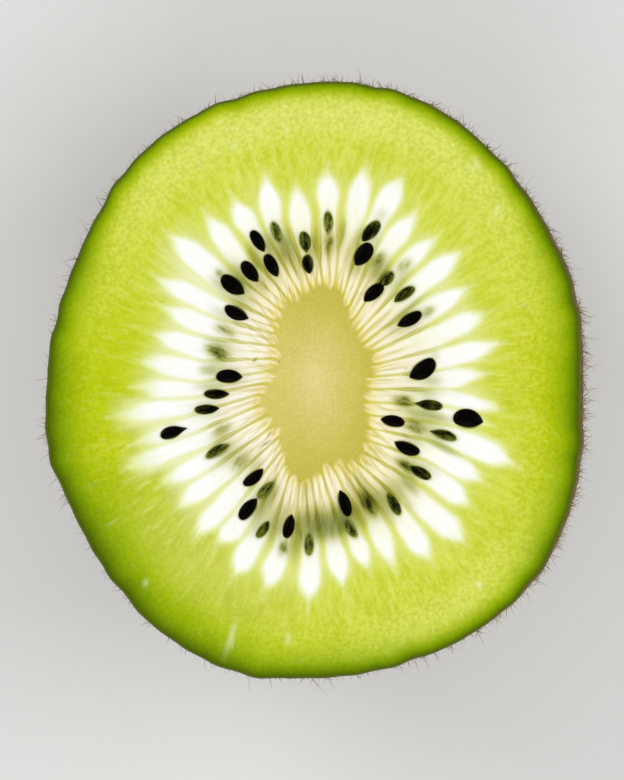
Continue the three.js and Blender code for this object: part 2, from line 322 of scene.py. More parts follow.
# Seeds that lie wholly under the surface and show through it as soft dark spots, partly the seeds
# seen through the flesh and partly their painted shadow: direction, distance, length, width, turn
# and how dark they show.
SUNK_SEEDS = np.array([
    (84.2, 12.3, 2.0, 1.0, 5, 0.6), (62.4, 12.1, 1.5, 0.9, -12, 0.6), (52.3, 12.8, 1.7, 1.0, -10, 0.45),
    (150.3, 9.1, 2.0, 1.0, 8, 0.53), (163.5, 9.0, 2.2, 1.15, -8, 0.92), (174.4, 9.5, 1.6, 0.9, 0, 0.35),
    (207.3, 9.3, 1.8, 0.8, 3, 0.45), (227.4, 9.6, 2.2, 1.2, -6, 0.5), (293.4, 11.7, 2.6, 1.2, 5, 1.0),
    (335.2, 9.8, 2.0, 1.0, 3, 0.7), (347.2, 8.05, 1.9, 1.1, 3, 0.75), (316.8, 10.95, 1.9, 0.8, 14, 0.95),
    (259.4, 14.95, 1.7, 1.0, 0, 0.6), (131.5, 12.7, 0.9, 0.7, 0, 0.45), (31.5, 11.7, 1.4, 0.9, 0, 0.45),
    (12.0, 10.8, 1.1, 0.9, 0, 0.14),
])
# Grey-green shadows of the deeper seeds: direction, distance, half length outwards, half width and
# how dark they are.
SHADOWS = np.array([
    (102.5, 12.1, 1.6, 0.85, 0.75), (89.5, 11.7, 1.5, 0.4, 0.35), (79.5, 12.9, 1.8, 0.4, 0.32),
    (74.0, 13.0, 1.5, 0.35, 0.35), (115.5, 11.9, 1.6, 0.6, 0.5), (125.5, 11.2, 1.7, 0.8, 0.55),
    (62.0, 11.3, 1.3, 0.8, 0.5), (275.5, 12.9, 1.3, 1.7, 0.75), (266.0, 12.9, 1.8, 0.6, 0.55),
    (254.5, 12.9, 1.9, 0.7, 0.5), (247.0, 11.9, 1.6, 0.7, 0.5), (289.0, 11.6, 1.3, 0.7, 0.45),
    (298.0, 12.0, 1.4, 0.8, 0.65), (332.6, 12.6, 1.7, 0.35, 0.6), (343.8, 10.8, 1.8, 0.45, 0.55),
    (354.5, 9.2, 2.4, 0.3, 0.27), (38.0, 10.8, 1.5, 0.3, 0.4), (158.0, 9.3, 1.3, 0.4, 0.22),
    (183.0, 9.3, 1.3, 0.4, 0.35), (221.5, 10.6, 1.5, 0.4, 0.2), (0.0, 10.3, 1.0, 0.6, 0.35),
    (306.0, 11.9, 1.2, 0.8, 0.48), (312.2, 12.3, 1.3, 0.6, 0.58), (98.0, 11.6, 1.2, 3.0, 0.14),
    (278.0, 12.5, 1.4, 3.6, 0.47), (270.5, 12.5, 1.6, 0.8, 0.5), (281.0, 12.2, 1.3, 0.8, 0.6),
    (217.5, 9.9, 1.2, 1.2, 0.35), (338.5, 10.8, 1.6, 0.7, 0.35), (33.5, 9.5, 1.8, 0.9, 0.4),
    (132.0, 10.6, 2.0, 1.0, 0.45), (177.0, 7.6, 1.7, 0.9, 0.3), (319.5, 11.3, 1.6, 0.8, 0.35),
    (194.5, 9.9, 1.5, 0.8, 0.25), (109.0, 12.7, 1.3, 0.6, 0.58), (263.2, 14.4, 1.6, 0.5, 0.52),
    (119.5, 9.9, 1.1, 0.6, 0.45), (248.8, 10.6, 1.2, 0.6, 0.55), (58.5, 11.4, 1.2, 0.6, 0.45),
    (247.5, 13.5, 1.3, 0.5, 0.35), (70.3, 10.8, 1.0, 0.7, 0.45), (3.5, 8.7, 0.8, 0.6, 0.3),
    (294.6, 9.9, 1.1, 0.5, 0.35), (49.6, 11.6, 1.3, 0.5, 0.35), (307.2, 13.3, 1.2, 0.4, 0.35),
    (316.2, 11.7, 0.8, 0.4, 0.45), (341.3, 9.0, 1.1, 0.45, 0.3), (258.6, 12.0, 1.1, 0.5, 0.35),
    (235.5, 9.2, 0.9, 0.5, 0.35), (171.2, 8.9, 0.9, 0.5, 0.28), (66.7, 13.5, 0.8, 0.5, 0.3),
    (72.0, 13.2, 0.9, 0.4, 0.35), (329.4, 10.3, 1.1, 0.5, 0.3), (335.8, 11.8, 1.0, 0.4, 0.35),
    (111.0, 10.2, 1.2, 0.7, 0.35), (144.5, 10.2, 1.2, 0.5, 0.22), (75.3, 11.6, 1.0, 0.4, 0.25),
    (209.3, 9.5, 1.0, 0.4, 0.3), (265.4, 9.6, 1.1, 0.5, 0.25), (302.0, 11.9, 0.8, 0.4, 0.35),
    (68.2, 15.7, 0.8, 0.6, 0.2), (98.0, 9.9, 1.0, 0.5, 0.22), (135.3, 12.2, 0.9, 0.4, 0.25),
    (289.2, 9.9, 0.9, 0.5, 0.22), (256.0, 13.5, 1.1, 0.4, 0.25), (99.5, 11.0, 0.9, 0.5, 0.22),
    (303.0, 8.4, 1.0, 0.6, 0.15), (242.3, 11.2, 0.9, 0.4, 0.22), (84.0, 11.4, 1.0, 0.4, 0.25),
    (299.6, 13.5, 0.9, 0.4, 0.28), (309.0, 7.7, 0.9, 0.5, 0.15), (283.5, 12.4, 1.0, 0.8, 0.25),
    (342.5, 9.8, 1.0, 0.5, 0.22), (159.0, 8.3, 1.0, 0.5, 0.2), (264.3, 12.4, 1.0, 0.5, 0.28),
    (91.6, 11.5, 0.9, 0.5, 0.28), (352.5, 9.9, 0.9, 0.5, 0.18), (250.5, 12.5, 1.1, 0.5, 0.2),
    (322.8, 12.9, 1.1, 0.5, 0.17),
])
# Little brown scars, and pale flecks near the rim: direction, distance, half length, half width,
# turn and strength.
SCARS = np.array([
    (160.7, 5.65, 0.22, 0.09, 60, 0.9), (232.0, 7.0, 0.55, 0.08, -20, 0.8),
    (229.0, 6.2, 0.3, 0.07, 10, 0.6), (200.5, 5.6, 0.3, 0.06, 0, 0.4), (8.0, 8.1, 0.12, 0.08, 0, 0.5),
    (209.0, 6.9, 0.35, 0.06, -15, 0.35), (141.0, 7.3, 0.2, 0.06, 0, 0.4),
    (64.0, 8.6, 0.25, 0.06, 0, 0.4),
])
FLECKS = np.array([
    (53.2, 23.9, 0.5, 0.25, 60, 0.55), (54.2, 23.3, 0.35, 0.2, 40, 0.35), (308.8, 23.1, 0.3, 0.22, 0, 0.8),
    (230.0, 23.3, 0.28, 0.24, 0, 0.45), (251.8, 23.8, 1.3, 0.2, 0, 0.55), (252.6, 24.3, 0.5, 0.12, 0, 0.3),
    (264.0, 22.9, 0.6, 0.3, 0, 0.4), (214.9, 21.8, 0.7, 0.1, -4, 0.2), (205.0, 21.8, 0.5, 0.1, 0, 0.12),
    (20.0, 19.6, 0.5, 0.14, 0, 0.3), (96.5, 22.4, 0.5, 0.16, 0, 0.5), (109.0, 22.0, 0.3, 0.4, 0, 0.4),
    (43.0, 22.0, 0.9, 0.25, 20, 0.35), (118.0, 21.5, 0.7, 0.1, 0, 0.3),
])
# Every 30 degrees: how wide the deep green at the rim is (mm), partly the flesh's own deeper green
# and partly painted shade where the cut's edge falls away, widest from 180 to 240 degrees; how
# strong the pale band inside it is, how hazy (or, below 0, how vivid) the flesh is further in, and
# how golden (or, below 0, how white) it is between the chambers.
RIM_GREEN_AND_SHADE_WIDTH = [1.35, 0.95, 0.75, 0.65, 0.55, 0.95, 1.75, 2.3, 1.95, 1.35, 0.95, 1.25]
PALE_BAND = [0.0, 0.3, 0.85, 1.1, 0.85, 0.2, 0.0, 0.0, 0.0, 0.15, 0.6, 0.15]
HAZE = [-0.2, 0.1, 0.2, 0.1, -0.15, -0.35, -0.9, 0.35, 0.95, 0.3, 0.1, 0.1]
GOLD = [0.4, 0.6, 0.8, 0.9, 0.65, -0.2, -0.6, -0.5, -0.3, 0.4, 0.8, 0.9]
# How sharp the edges of each kind of mark are.
SUNK_SHARPNESS = 2.6
SHADOW_SHARPNESS = 2.4
SPECK_SHARPNESS = 2.0
BED_SHARPNESS = 12.0
VEILED_BED_SHARPNESS = 4.0
# The dark stain round a seed: how far it is shifted towards the blunt end (as a share of the seed's
# length), its half length and half width (as shares of the seed's), how dark it is round a bare
# seed, and how much less so round a filmed one.
BED_SHIFT = 0.05
BED_SHARES = [0.46, 0.51]
BED_DARKNESS = 0.85
BED_FILM_LOSS = 0.2


def spots(points, rows, sharpness):
    """How darkly oval spots together cover each point: rows give direction, distance, half length,
    half width, turn and depth, and one spot covers depth * exp(-(oval distance)^sharpness)."""
    clear = np.ones(len(points))
    for direction, distance, half_long, half_wide, turn, depth in rows:
        gap = points - at(direction, distance)
        lean = math.radians(direction + turn)
        ahead = (gap[:, 0] * math.cos(lean) + gap[:, 1] * math.sin(lean)) / half_long
        aside = (gap[:, 1] * math.cos(lean) - gap[:, 0] * math.sin(lean)) / half_wide
        oval = np.sqrt(ahead ** 2 + aside ** 2)
        clear *= 1 - depth * np.exp(-(oval ** sharpness))
    return 1 - clear


def seed_beds():
    """The stains round the seeds, as rows for `spots`."""
    beds = SEEDS[:, [0, 1, 2, 3, 4, 7]].copy()
    beds[:, 1] += BED_SHIFT * beds[:, 2] * np.sign(np.cos(np.radians(beds[:, 4])))
    beds[:, 2:4] *= BED_SHARES
    beds[:, 5] = BED_DARKNESS - BED_FILM_LOSS * beds[:, 5]
    return beds


def face_marks(points, angle, from_core):
    """Every mark that the flesh's finish reads, for points of the cut face."""
    ends = np.sin(angle) ** 2
    sunk = SUNK_SEEDS * [1, 1, 0.5, 0.5, 1, 1]
    shadow = np.insert(SHADOWS, 4, 0, axis=1)
    beds, veiled = seed_beds(), SEEDS[:, 6] == VEILED
    bed = spots(points, beds[~veiled], BED_SHARPNESS)
    veiled_bed = spots(points, beds[veiled], VEILED_BED_SHARPNESS)
    return {
        **chamber_marks(points, from_core, ends),
        "from_core": from_core,
        "from_rim": rim_outline(angle) - np.linalg.norm(points, axis=1),
        "sunk": spots(points, sunk, SUNK_SHARPNESS),
        "shadow": spots(points, shadow, SHADOW_SHARPNESS),
        "scar": spots(points, SCARS, SPECK_SHARPNESS),
        "fleck": spots(points, FLECKS, SPECK_SHARPNESS),
        "bed": np.maximum(bed, veiled_bed),
        "ends": ends,
        "rim_green_and_shade_width": around(RIM_GREEN_AND_SHADE_WIDTH, angle),
        "pale_band": around(PALE_BAND, angle),
        "haze": around(HAZE, angle),
        "gold": around(GOLD, angle),
    }


# The depth of the dips in the chambers and of the rolled rim, and how far in each is reached.
CHAMBER_DIP = 0.05
CHAMBER_DIP_SLOPE = 0.5
CORE_EDGE_SLOPE = 0.6
RIM_ROUNDING = 0.1
RIM_ROUNDING_WIDTH = 0.5
# The rows of points lie closer together by the core, where the markings are fine.
ROW_CROWDING = 0.3
POCKET_ROWS = 9
SIDE_ROWS = 11
# How far the flesh's side lies inside the skin's inner face, and its end above the level spot.
SIDE_INSET = 0.12
END_INSET = 0.6

core_edge = around(CORE_RADII, angles)
flesh_rim = rim_outline(angles) - SKIN_AT_CUT
row = np.linspace(0, 1, FACE_ROWS)[:, None]
row = (1 - ROW_CROWDING) * row + ROW_CROWDING * row ** 3
face_radius = core_edge + (flesh_rim - core_edge) * row
face_points = turned(face_radius, angles, 0)[..., :2]
face_angle = np.broadcast_to(angles, face_radius.shape)
marks = face_marks(face_points.reshape(-1, 2), face_angle.ravel(), (face_radius - core_edge).ravel())
marks = {name: values.reshape(face_radius.shape) for name, values in marks.items()}

# The face's low relief: chambers dip a little and the rim rolls over.
dip = ease(0, CHAMBER_DIP_SLOPE, marks["chamber"]) * ease(0, CORE_EDGE_SLOPE, marks["from_core"])
roll = ease(SKIN_AT_CUT + RIM_ROUNDING_WIDTH, SKIN_AT_CUT, marks["from_rim"])
face_rings = np.dstack([face_points, cut_height - CHAMBER_DIP * dip - RIM_ROUNDING * roll])

# Down the pocket's side and down the outside, each from its second row on.
pocket_depth, pocket_narrowing = rounded_side(CORE_DEPTH, CORE_END_TRIM, CORE_FULLNESS, POCKET_ROWS)
pocket_radius = core_radius(angles, pocket_narrowing[1:])
pocket_height = cut_height - pocket_depth[1:]
pocket_rings = turned(pocket_radius, angles, pocket_height)[::-1]
side_depth, side_narrowing = rounded_side(
    half_length, STEM_END_TRIM + END_INSET, SIDE_FULLNESS, SIDE_ROWS
)
side_radius = body_radius(angles, side_depth[1:], side_narrowing[1:]) - SKIN_AT_CUT - SIDE_INSET
side_rings = turned(side_radius, angles, cut_height - side_depth[1:])
flesh_rings = np.concatenate([pocket_rings, face_rings, side_rings])


def carried(values):
    """A mark of the face, carried on unchanged down the pocket and down the side."""
    return np.pad(values, ((len(pocket_rings), len(side_rings)), (0, 0)), "edge")


flesh = ringed_piece(
    "kiwi_flesh",
    (0, 0, pocket_rings[0, 0, 2]),
    flesh_rings,
    (0, 0, side_rings[-1, 0, 2]),
    {name: carried(values) for name, values in marks.items()},
)


def tone(red, green, blue):
    """A colour given as display values from 0 to 255, as the linear colour that a shader takes."""
    display = np.array([red, green, blue]) / 255
    linear = np.where(display <= 0.04045, display / 12.92, ((display + 0.055) / 1.055) ** 2.4)
    return (*linear.tolist(), 1.0)


class Finish:
    """A material put together node by node. Each method adds nodes and returns what they give. A
    colour is another node's, or (red, green, blue) as display values from 0 to 255."""

    def __init__(self, name):
        """A new material with nothing but its shader."""
        self.material = bpy.data.materials.new(name)
        self.material.use_nodes = True
        self.tree = self.material.node_tree
        self.shader = self.tree.nodes["Principled BSDF"]

    def feed(self, socket, value):
        """Gives an input another node's output, or a value of its own."""
        if isinstance(value, bpy.types.NodeSocket):
            self.tree.links.new(value, socket)
        else:
            socket.default_value = value

    def node(self, kind, inputs, output=0, **settings):
        """One node of a kind, with its inputs by name or number and its settings."""
        made = self.tree.nodes.new("ShaderNode" + kind)
        for name, value in settings.items():
            setattr(made, name, value)
        for key, value in inputs.items():
            self.feed(made.inputs[key], value)
        return made.outputs[output]

    def math(self, operation, first, second=0.0):
        """One sum on one or two values."""
        return self.node("Math", {0: first, 1: second}, operation=operation)

    def times(self, value, *others):
        """All the values multiplied together."""
        for other in others:
            value = self.math("MULTIPLY", value, other)
        return value

    def scaled(self, value, by, plus):
        """value * by + plus."""
        return self.node("Math", {0: value, 1: by, 2: plus}, operation="MULTIPLY_ADD")

    def vector(self, operation, first, second=(0, 0, 0), scale=1.0, output="Vector"):
        """One sum on one or two places or directions. Input 3 is the scale."""
        inputs = {0: first, 1: second, 3: scale}
        return self.node("VectorMath", inputs, output, operation=operation)

    def mark(self, name):
        """One of the mesh's own float attributes."""
        return self.node("Attribute", {}, output="Fac", attribute_name=name)

    def place(self):
        """The point's place in millimetres."""
        return self.vector("SCALE", self.node("TexCoord", {}, output="Object"), scale=1 / MM)

    def coordinate(self, axis):
        """The X, Y or Z of the point's place in millimetres."""
        return self.node("SeparateXYZ", {0: self.place()}, output=axis)

    def from_axis(self, x_share=1.0, y_share=1.0):
        """The distance from the axis in millimetres, with X and Y each counted at a share."""
        flat = self.vector("MULTIPLY", self.place(), (x_share, y_share, 0))
        return self.vector("LENGTH", flat, output="Value")

    def noise(self, place, scale, detail=3.0, roughness=0.55):
        """Soft noise from 0 to 1 with its middle at about 0.5."""
        inputs = {"Vector": place, "Scale": scale, "Detail": detail, "Roughness": roughness}
        return self.node("TexNoise", inputs, output="Fac")

    def radial_noise(self, across, outwards, detail=3.0, roughness=0.55):
        """Noise drawn out along the radius. It is read at a place whose x and y run round the axis,
        on a circle of radius `across`, and whose z is the distance from it times `outwards`."""
        flat = self.vector("MULTIPLY", self.place(), (1, 1, 0))
        circle = self.vector("SCALE", self.vector("NORMALIZE", flat), scale=across)
        rise = self.node("CombineXYZ", {"Z": self.times(self.from_axis(), outwards)})
        return self.noise(self.vector("ADD", circle, rise), 1.0, detail, roughness)

    def step(self, value, low, high, start=0.0, end=1.0):
        """A smooth change from start to end as the value goes from low to high."""
        inputs = {"Value": value, "From Min": low, "From Max": high, "To Min": start, "To Max": end}
        return self.node("MapRange", inputs, interpolation_type="SMOOTHSTEP")

    def between(self, value, low, rise, fall, high):
        """1 from rise to fall, and smoothly down to 0 at low and at high."""
        return self.times(self.step(value, low, rise), self.step(value, high, fall))

    def mix(self, share, first, second, blend="MIX"):
        """The first colour where the share is 0, the second where it is 1. The Mix node's colours
        are its inputs 6 and 7, and its output 2."""
        first, second = (tone(*each) if isinstance(each, tuple) else each for each in (first, second))
        inputs = {0: share, 6: first, 7: second}
        return self.node("Mix", inputs, output=2, data_type="RGBA", blend_type=blend)

    def tint(self, share, colour, by):
        """The colour multiplied by another, as far as the share says."""
        return self.mix(share, colour, by, "MULTIPLY")

    def ramp(self, value, stops):
        """A colour read off a scale of (value, red, green, blue) stops."""
        low, high = stops[0][0], stops[-1][0]
        share = self.node("MapRange", {"Value": value, "From Min": low, "From Max": high})
        output = self.node("ValToRGB", {"Fac": share})
        scale = output.node.color_ramp
        while len(scale.elements) < len(stops):
            scale.elements.new(1.0)
        for element, (stop, *colour) in zip(scale.elements, stops):
            element.position = (stop - low) / (high - low)
            element.color = tone(*colour)
        return output

    def bump(self, height, distance, strength, under=None):
        """Small relief from a height from 0 to 1, `distance` in metres tall."""
        inputs = {"Height": height, "Distance": distance, "Strength": strength}
        if under is not None:
            inputs["Normal"] = under
        return self.node("Bump", inputs)

    def surface(self, **inputs):
        """The finished material: its shader's inputs by name, with _ for each space."""
        for name, value in inputs.items():
            self.feed(self.shader.inputs[name.replace("_", " ")], value)
        return self.material


def striped(f, pale, from_core):
    """The fingers by the core: a pale colour split by fine tan lines along the radius, and down the
    chambers' midlines by softer, darker ones. All of them fade outwards, here sooner and there later."""
    drift = f.radial_noise(9, 0.2, 2.0)
    patchy = f.radial_noise(13, 0.45, 2.0)
    fine = f.radial_noise(24, 0.12, 2.0)
    fine = f.times(f.step(fine, 0.5, 0.58), f.step(from_core, 3.4, 0.8, 0.12, 0.7))
    pale = f.mix(fine, pale, (213, 196, 88))
    across = f.scaled(drift, 0.2, f.math("SUBTRACT", f.mark("across"), 0.1))
    midline = f.step(across, f.step(from_core, 1.4, 0.0, 0.13, 0.24), 0.03)
    by_ends = f.scaled(f.mark("ends"), 0.6, 0.4)
    lines = f.times(midline, by_ends, f.step(patchy, 0.34, 0.6, 0.25, 1.0))
    return f.mix(lines, pale, (206, 188, 90))


def finger_ends(f, from_core):
    """0 in the core and 1 out in the fingers, by the distance out from the core's edge: each finger
    ends a little further in or out than the next, and those on the -X side reach in furthest."""
    x = f.coordinate("X")
    start = f.scaled(f.radial_noise(13, 0.0, 1.0), 1.9, -1.05)
    start = f.math("SUBTRACT", start, f.step(x, -1.0, -4.5, 0.05, 0.4))
    return f.step(f.math("SUBTRACT", from_core, start), -0.35, 0.45)


def flesh_finish():
    """Colour goes by the marks: a deep green rim, partly painted shade, that clears to a grainy
    yellow-green, pale walls, white chambers, cream fingers with thin tan lines, and the painted
    shadows of the seeds below."""
    f = Finish("kiwi_flesh")
    place = f.place()
    grain = f.radial_noise(60, 1.5, 4.0, 0.8)
    blobs = f.radial_noise(24, 0.7, 3.0, 0.6)
    clouds = f.noise(place, 0.42, 3.0, 0.55)
    patches = f.noise(place, 0.14, 2.0)
    streaks = f.radial_noise(26, 0.35, 4.0, 0.6)
    sway = f.radial_noise(9, 0.25, 2.0)
    from_core = f.mark("from_core")
    from_rim = f.mark("from_rim")
    drop = f.mark("drop")
    pale_band = f.mark("pale_band")
    haze = f.mark("haze")
    gold = f.mark("gold")
    x = f.coordinate("X")
    y = f.coordinate("Y")
    tip = f.step(drop, 0.45, 1.0)
    at_ends = f.step(f.mark("ends"), 0.35, 0.8)

    # The outer flesh, by its distance from the rim in widths of the green band there. Its darkest
    # green, at the rim itself, is partly painted shade where the edge falls away.
    widths_in = f.math("DIVIDE", from_rim, f.mark("rim_green_and_shade_width"))
    depth = f.times(widths_in, f.scaled(patches, 0.8, 0.6))
    outer = f.ramp(depth, [
        (0.0, 58, 72, 0), (0.3, 95, 121, 0), (0.65, 125, 154, 0),
        (1.0, 147, 173, 0), (1.6, 171, 191, 2), (2.4, 190, 205, 18),
        (4.0, 202, 212, 50), (6.5, 207, 217, 64), (12.0, 208, 218, 68),
    ])
    band = f.times(f.between(from_rim, 0.6, 2.4, 3.0, 5.6), pale_band, 0.75)
    outer = f.mix(band, outer, (221, 228, 110))
    # Fibres along the radius, which turn into a mottled pulp with small pale dots near the rim, over
    # broader clouds: greener in places, paler in others.
    fibres = f.radial_noise(36, 0.5, 4.0, 0.6)
    pulp = f.noise(place, 2.7, 2.0, 0.5)
    pulp_share = f.step(from_rim, 7.0, 3.0, 0.2, 0.85)
    texture = f.scaled(f.math("SUBTRACT", pulp, fibres), pulp_share, fibres)
    texture = f.scaled(texture, 0.6, f.times(clouds, 0.2))
    texture = f.scaled(grain, 0.2, texture)
    outer = f.tint(f.step(texture, 0.55, 0.38, 0.0, 0.28), outer, (206, 217, 104))
    outer = f.tint(f.step(pulp, 0.6, 0.4, 0.0, 0.35), outer, (247, 247, 246))
    paler = f.times(f.step(texture, 0.44, 0.63, 0.0, 0.5), f.step(depth, 1.3, 3.5))
    paler = f.times(paler, f.scaled(pale_band, 0.4, 0.6))
    outer = f.mix(paler, outer, (229, 234, 120))
    dots = f.step(f.noise(place, 2.9, 2.0, 0.5), 0.54, 0.72)
    dots = f.times(dots, f.between(from_rim, 0.8, 2.0, 3.0, 6.0), f.scaled(pale_band, 0.4, 0.06))
    outer = f.mix(dots, outer, (238, 243, 150))
    further_in = f.step(from_rim, 2.2, 6.0)
    hazy = f.times(f.step(haze, 0.0, 1.0, 0.0, 0.28), further_in)
    outer = f.mix(hazy, outer, (188, 197, 114))
    vivid = f.times(f.step(haze, 0.0, -1.0, 0.0, 0.55), further_in)
    vivid = f.times(vivid, f.step(from_rim, 8.0, 5.5, 0.35, 1.0))
    outer = f.mix(vivid, outer, (180, 198, 0))
    outer = f.tint(f.times(vivid, 1.6), outer, (252, 255, 156))
    # Pale threads run out from the chambers' tips into the flesh.
    threads = f.radial_noise(38, 0.45, 3.0, 0.6)
    threads = f.times(f.step(threads, 0.52, 0.68), f.step(from_rim, 2.0, 7.0))
    outer = f.mix(f.times(threads, 0.32), outer, (230, 235, 136))
    outer = f.mix(f.mark("fleck"), outer, (236, 241, 180))

    # The walls between the chambers, by their distance from the core. Those at the core's ends are
    # darker, and all of them turn into the outer flesh at the chambers' tips. Both scales dip between
    # about 3 and 5.5 mm out, most at the core's ends: painted shade of the ring of seeds.
    side_walls = f.ramp(from_core, [
        (0.0, 204, 192, 68), (0.6, 213, 202, 92), (1.0, 221, 209, 112),
        (2.0, 224, 214, 138), (3.2, 212, 206, 126), (4.2, 203, 199, 116),
        (5.4, 206, 206, 122), (6.6, 215, 217, 134), (8.0, 223, 226, 148),
        (9.5, 224, 229, 138), (11.5, 216, 224, 112),
    ])
    end_walls = f.ramp(from_core, [
        (0.0, 199, 187, 62), (0.6, 210, 197, 84), (1.0, 216, 203, 102),
        (2.0, 212, 200, 110), (3.2, 199, 193, 106), (4.2, 191, 189, 102),
        (5.4, 204, 205, 114), (6.6, 218, 222, 128), (8.0, 220, 227, 128),
        (10.0, 211, 220, 96),
    ])
    milky = f.times(f.step(x, -2.0, -8.0, 0.0, 0.65), f.step(from_core, 4.0, 6.0))
    side_walls = f.mix(milky, side_walls, (248, 247, 216))
    walls = f.mix(at_ends, side_walls, end_walls)
    walls = f.mix(f.step(streaks, 0.4, 0.7, 0.0, 0.35), walls, (238, 237, 184))
    darker = f.times(f.step(streaks, 0.5, 0.36, 0.0, 0.33), f.step(from_core, 6.5, 4.0))
    walls = f.mix(darker, walls, (146, 144, 62))
    golden = f.times(f.step(gold, 0.0, 1.0), f.step(from_core, 9.0, 6.0))
    walls = f.tint(golden, walls, (253, 252, 206))
    ground = f.mix(f.step(drop, 0.35, 1.25), walls, outer)

    # Chambers: white, shading softly into a pale border; their fingers are cream, and yellower at
    # the two ends of the core. At the core's ends they also dim a little about 4.6 mm out, a painted
    # shade of the ring of seeds.
    side_chambers = f.ramp(from_core, [
        (0.0, 246, 230, 176), (0.6, 249, 239, 204), (1.0, 250, 243, 216),
        (2.2, 251, 246, 225), (4.0, 248, 245, 224), (5.2, 249, 250, 238),
        (7.0, 253, 253, 250), (12.0, 253, 254, 248),
    ])
    end_chambers = f.ramp(from_core, [
        (0.0, 248, 235, 188), (0.8, 251, 242, 214), (2.0, 251, 243, 218),
        (3.0, 249, 241, 214), (4.6, 242, 239, 208), (5.8, 251, 251, 242),
        (12.0, 253, 254, 249),
    ])
    inside = f.mix(at_ends, side_chambers, end_chambers)
    in_fingers = f.between(from_core, -0.2, 0.6, 1.4, 3.2)
    whiter = f.times(f.step(gold, 0.0, -0.6, 0.0, 0.5), in_fingers)
    inside = f.mix(whiter, inside, (255, 252, 236))
    # The very tips are a little green.
    inside = f.mix(f.step(drop, 0.72, 1.05, 0.0, 0.55), inside, (236, 242, 178))
    inside = f.mix(f.step(streaks, 0.5, 0.7, 0.0, 0.3), inside, (240, 241, 210))
    by_core = f.times(f.step(from_core, 5.0, 2.6), f.step(streaks, 0.7, 0.4, 0.5, 1.0))
    inside = f.mix(by_core, inside, striped(f, inside, from_core))
    # On the -X side, and most of all towards -Y, the chambers' tips are veiled with green.
    veil = f.times(tip, f.step(x, -11.0, -14.5), f.step(y, 2.0, -2.0, 0.25, 0.65))
    inside = f.mix(veil, inside, (222, 234, 150))
    # The chambers' edges wander a little, and their tips are feathered along the radius.
    wander = f.scaled(blobs, 0.14, f.scaled(sway, 0.3, -0.22))
    feather = f.times(f.math("SUBTRACT", streaks, 0.5), f.scaled(tip, 0.8, 0.15))
    uneven = f.times(f.math("ADD", wander, feather), f.step(from_core, 1.0, 6.0, 0.35, 1.0))
    edge = f.math("ADD", f.mark("chamber"), uneven)
    soft = f.scaled(tip, 0.16, f.step(from_core, 3.0, 7.0, 0.1, 0.27))
    border = f.step(edge, f.scaled(tip, -0.3, -0.5), 0.0, 0.0, 0.7)
    border = f.times(border, f.step(from_core, 3.5, 6.5, 0.2, 1.0))
    colour = f.mix(border, ground, (231, 237, 158))
    colour = f.mix(f.step(edge, f.times(soft, -1.0), soft), colour, inside)

    # A thin tan rind along each finger, broken here and there. Where the fingers end, the core's tone
    # takes over.
    broken = f.radial_noise(11, 0.4, 2.0)
    rind = f.step(f.math("ABSOLUTE", f.math("ADD", edge, 0.04)), 0.1, 0.0)
    rind = f.times(rind, f.step(from_core, 7.5, 3.5, 0.0, 0.42), f.step(from_core, 0.0, 3.0, 0.4, 1.0))
    rind = f.times(rind, f.step(broken, 0.36, 0.62, 0.1, 1.0))
    colour = f.mix(rind, colour, (160, 150, 66))
    colour = f.tint(f.times(golden, 0.45), colour, (255, 253, 222))
    colour = f.tint(f.step(from_core, 1.0, 0.0, 0.0, 0.7), colour, (255, 253, 218))
    colour = f.mix(finger_ends(f, from_core), (200, 189, 70), colour)

    # Seeds below the surface shade it grey-green, and the nearer they are the darker. Round a seed
    # that shows, the flesh is stained dark.
    shade = f.times(f.mark("shadow"), f.step(streaks, 0.3, 0.6, 1.08, 0.9))
    colour = f.tint(1.0, colour, f.ramp(shade, [
        (0.0, 255, 255, 255), (0.35, 215, 217, 176), (0.65, 171, 177, 118),
        (1.0, 122, 134, 80),
    ]))
    film = f.radial_noise(30, 1.2, 3.0, 0.6)
    sunk = f.times(f.mark("sunk"), f.step(film, 0.36, 0.62, 1.08, 0.72))
    colour = f.tint(1.0, colour, f.ramp(sunk, [
        (0.0, 255, 255, 255), (0.3, 208, 210, 164), (0.6, 132, 138, 66),
        (1.0, 42, 50, 8),
    ]))
    colour = f.tint(1.0, colour, f.ramp(f.mark("bed"), [
        (0.0, 255, 255, 255), (0.3, 206, 208, 168), (0.65, 96, 104, 52),
        (1.0, 28, 34, 8),
    ]))
    colour = f.mix(f.mark("scar"), colour, (120, 78, 28))

    wet = f.step(f.mark("chamber"), -0.1, 0.2, 0.32, 0.26)
    wet = f.math("MAXIMUM", wet, f.step(from_rim, 3.2, 1.4, 0.3, 0.9))
    fine = f.bump(grain, 0.00008, 0.5)
    normal = f.bump(streaks, 0.0001, 0.35, fine)
    return f.surface(Base_Color=colour, Roughness=wet, Normal=normal, Specular_IOR_Level=0.06)


flesh.data.materials.append(flesh_finish())
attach(flesh, "root")
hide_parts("flesh")


# ---- The core ----------------------------------------------------------------------------------
# The pale, firm column in the middle of the fruit, khaki at its edge and lighter in its middle.
# Its edge on the cut is the same line as the edge of its pocket, since the two have grown together.

CORE_FACE_ROWS = 46
CORE_SIDE_INSET = 0.02

core_share = np.linspace(0, 1, CORE_FACE_ROWS)[1:, None]
core_face = turned(core_edge * core_share, angles, cut_height)
core_side = turned(pocket_radius - CORE_SIDE_INSET, angles, pocket_height)
from_edge = core_edge * (1 - core_share)
core_ends = np.broadcast_to(np.sin(angles) ** 2, from_edge.shape)
core_marks = chamber_marks(core_face[..., :2].reshape(-1, 2), -from_edge.ravel(), core_ends.ravel())
core_marks = {"from_edge": from_edge, "ends": core_ends, **core_marks}
core = ringed_piece(
    "kiwi_core",
    (0, 0, cut_height),
    np.concatenate([core_face, core_side]),
    (0, 0, core_side[-1, 0, 2]),
    {name: np.pad(values.reshape(from_edge.shape), ((0, len(core_side)), (0, 0)), "edge")
     for name, values in core_marks.items()},
)


